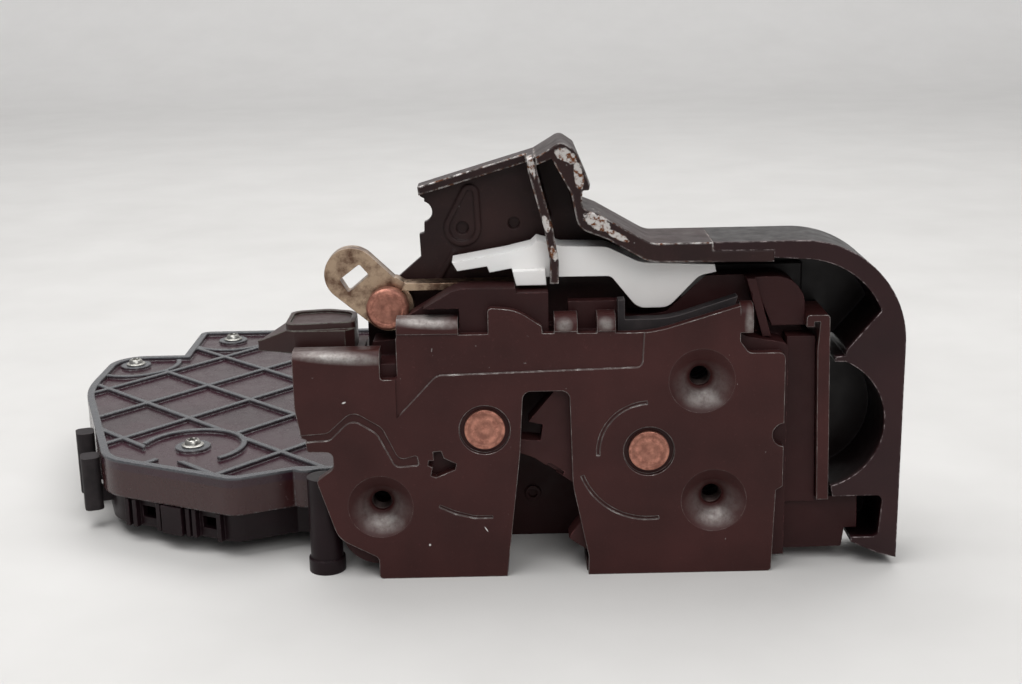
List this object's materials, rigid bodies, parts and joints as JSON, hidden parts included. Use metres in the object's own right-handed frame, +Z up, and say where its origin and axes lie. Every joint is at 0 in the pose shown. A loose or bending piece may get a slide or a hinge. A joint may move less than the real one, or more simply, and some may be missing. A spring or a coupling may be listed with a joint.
{
  "type": "door latch actuator",
  "caption": "Side door latch with steel face plate, open claw and pawl, release and lock levers, anti-theft bracket and a motor-driven lock actuator housing.",
  "frame": {"origin": "centre of the striker mouth on the outer face of the face plate, level with the plate's lower edge", "axes": "+X across the plate to the right as seen from outside, +Y into the door away from the plate, +Z up"},
  "size_m": [0.2179, 0.1584, 0.1038],
  "materials": {
    "coated_steel": "satin",
    "bracket_steel": "satin, chipped at the edges",
    "bare_steel": "brushed",
    "spring_steel": "oiled",
    "pin_steel": "turned, heat tinted",
    "screw_steel": "bright",
    "yellow_zinc": "yellow passivated",
    "frame_plastic": "fine grained",
    "catch_plastic": "moulded",
    "shield_plastic": "semi-gloss",
    "housing_plastic": "semi-gloss",
    "white_plastic": "smooth",
    "gear_plastic": "smooth",
    "switch_plastic": "smooth",
    "rubber": "matt",
    "motor_can": "drawn can",
    "brass": "turned",
    "terminal_brass": "tinned"
  },
  "bodies": {
    "housing": {"face_plate": "coated_steel", "latch_frame": "frame_plastic", "back_plate": "bare_steel", "claw_pin": "pin_steel", "pawl_pin": "pin_steel", "claw_spring": "spring_steel", "pawl_spring": "spring_steel", "striker_buffer": "rubber", "frame_seal": "rubber", "security_bracket": "bracket_steel", "guard_strap": "bracket_steel", "side_shield": "shield_plastic", "stiffener_plate": "coated_steel", "bracket_screws": "screw_steel", "lever_pin": "pin_steel", "lock_pin": "bare_steel", "inside_pin": "bare_steel", "housing_base": "housing_plastic", "housing_cover": "housing_plastic", "cover_screws": "screw_steel", "rubber_buffers": "rubber", "motor": "motor_can", "switches": "switch_plastic", "terminal_pins": "terminal_brass", "conductor_plate": "switch_plastic"},
    "claw": {"claw_core": "bare_steel", "claw_cover": "catch_plastic"},
    "pawl": {"pawl_core": "bare_steel", "pawl_cover": "catch_plastic"},
    "outside_lever": {"outside_lever": "yellow_zinc"},
    "lock_lever": {"lock_lever": "white_plastic"},
    "key_cup": {"key_cup": "frame_plastic"},
    "inside_lever": {"inside_lever": "yellow_zinc"},
    "worm_wheel": {"worm_wheel": "gear_plastic"},
    "worm": {"worm": "brass"},
    "lock_slider": {"lock_slider": "gear_plastic"}
  },
  "joints": [
    {"name": "claw_turn", "type": "hinge", "parent": "housing", "child": "claw", "pos_m": [0.0243, 0.0058, 0.031], "axis": [0, 1, 0], "range_deg": [0, 50]},
    {"name": "pawl_turn", "type": "hinge", "parent": "housing", "child": "pawl", "pos_m": [-0.0143, 0.0058, 0.0371], "axis": [0, -1, 0], "range_deg": [-12, 12]},
    {"name": "outside_lever_turn", "type": "hinge", "parent": "housing", "child": "outside_lever", "pos_m": [-0.0366, 0.014, 0.0646], "axis": [0, 1, 0], "range_deg": [0, 8]},
    {"name": "lock_lever_turn", "type": "hinge", "parent": "housing", "child": "lock_lever", "pos_m": [0.0263, 0.012, 0.0683], "axis": [0, 1, 0], "range_deg": [0, 3]},
    {"name": "key_cup_turn", "type": "hinge", "parent": "housing", "child": "key_cup", "pos_m": [-0.0523, 0.0146, 0.058], "axis": [0, 0, 1], "range_deg": [-12, 12]},
    {"name": "inside_lever_turn", "type": "hinge", "parent": "housing", "child": "inside_lever", "pos_m": [0.05, 0.0192, 0.0486], "axis": [0, 1, 0], "range_deg": [0, 15]},
    {"name": "wheel_turn", "type": "hinge", "parent": "housing", "child": "worm_wheel", "pos_m": [-0.072, 0.07, 0.0106], "axis": [0, 0, 1], "range_deg": [0, 60]},
    {"name": "worm_spin", "type": "hinge", "parent": "housing", "child": "worm", "pos_m": [-0.08505, 0.07, 0.0106], "axis": [0, 1, 0], "range_deg": [0, 1440]},
    {"name": "slider_travel", "type": "slide", "parent": "housing", "child": "lock_slider", "axis": [0, 1, 0], "range_m": [0, 0.006]}
  ],
  "couplings": [
    {"joint": "worm_spin", "follows": "wheel_turn", "ratio": 24},
    {"joint": "slider_travel", "follows": "wheel_turn", "m_per_rad": 0.0057296},
    {"joint": "lock_lever_turn", "follows": "wheel_turn", "ratio": 0.05}
  ]
}
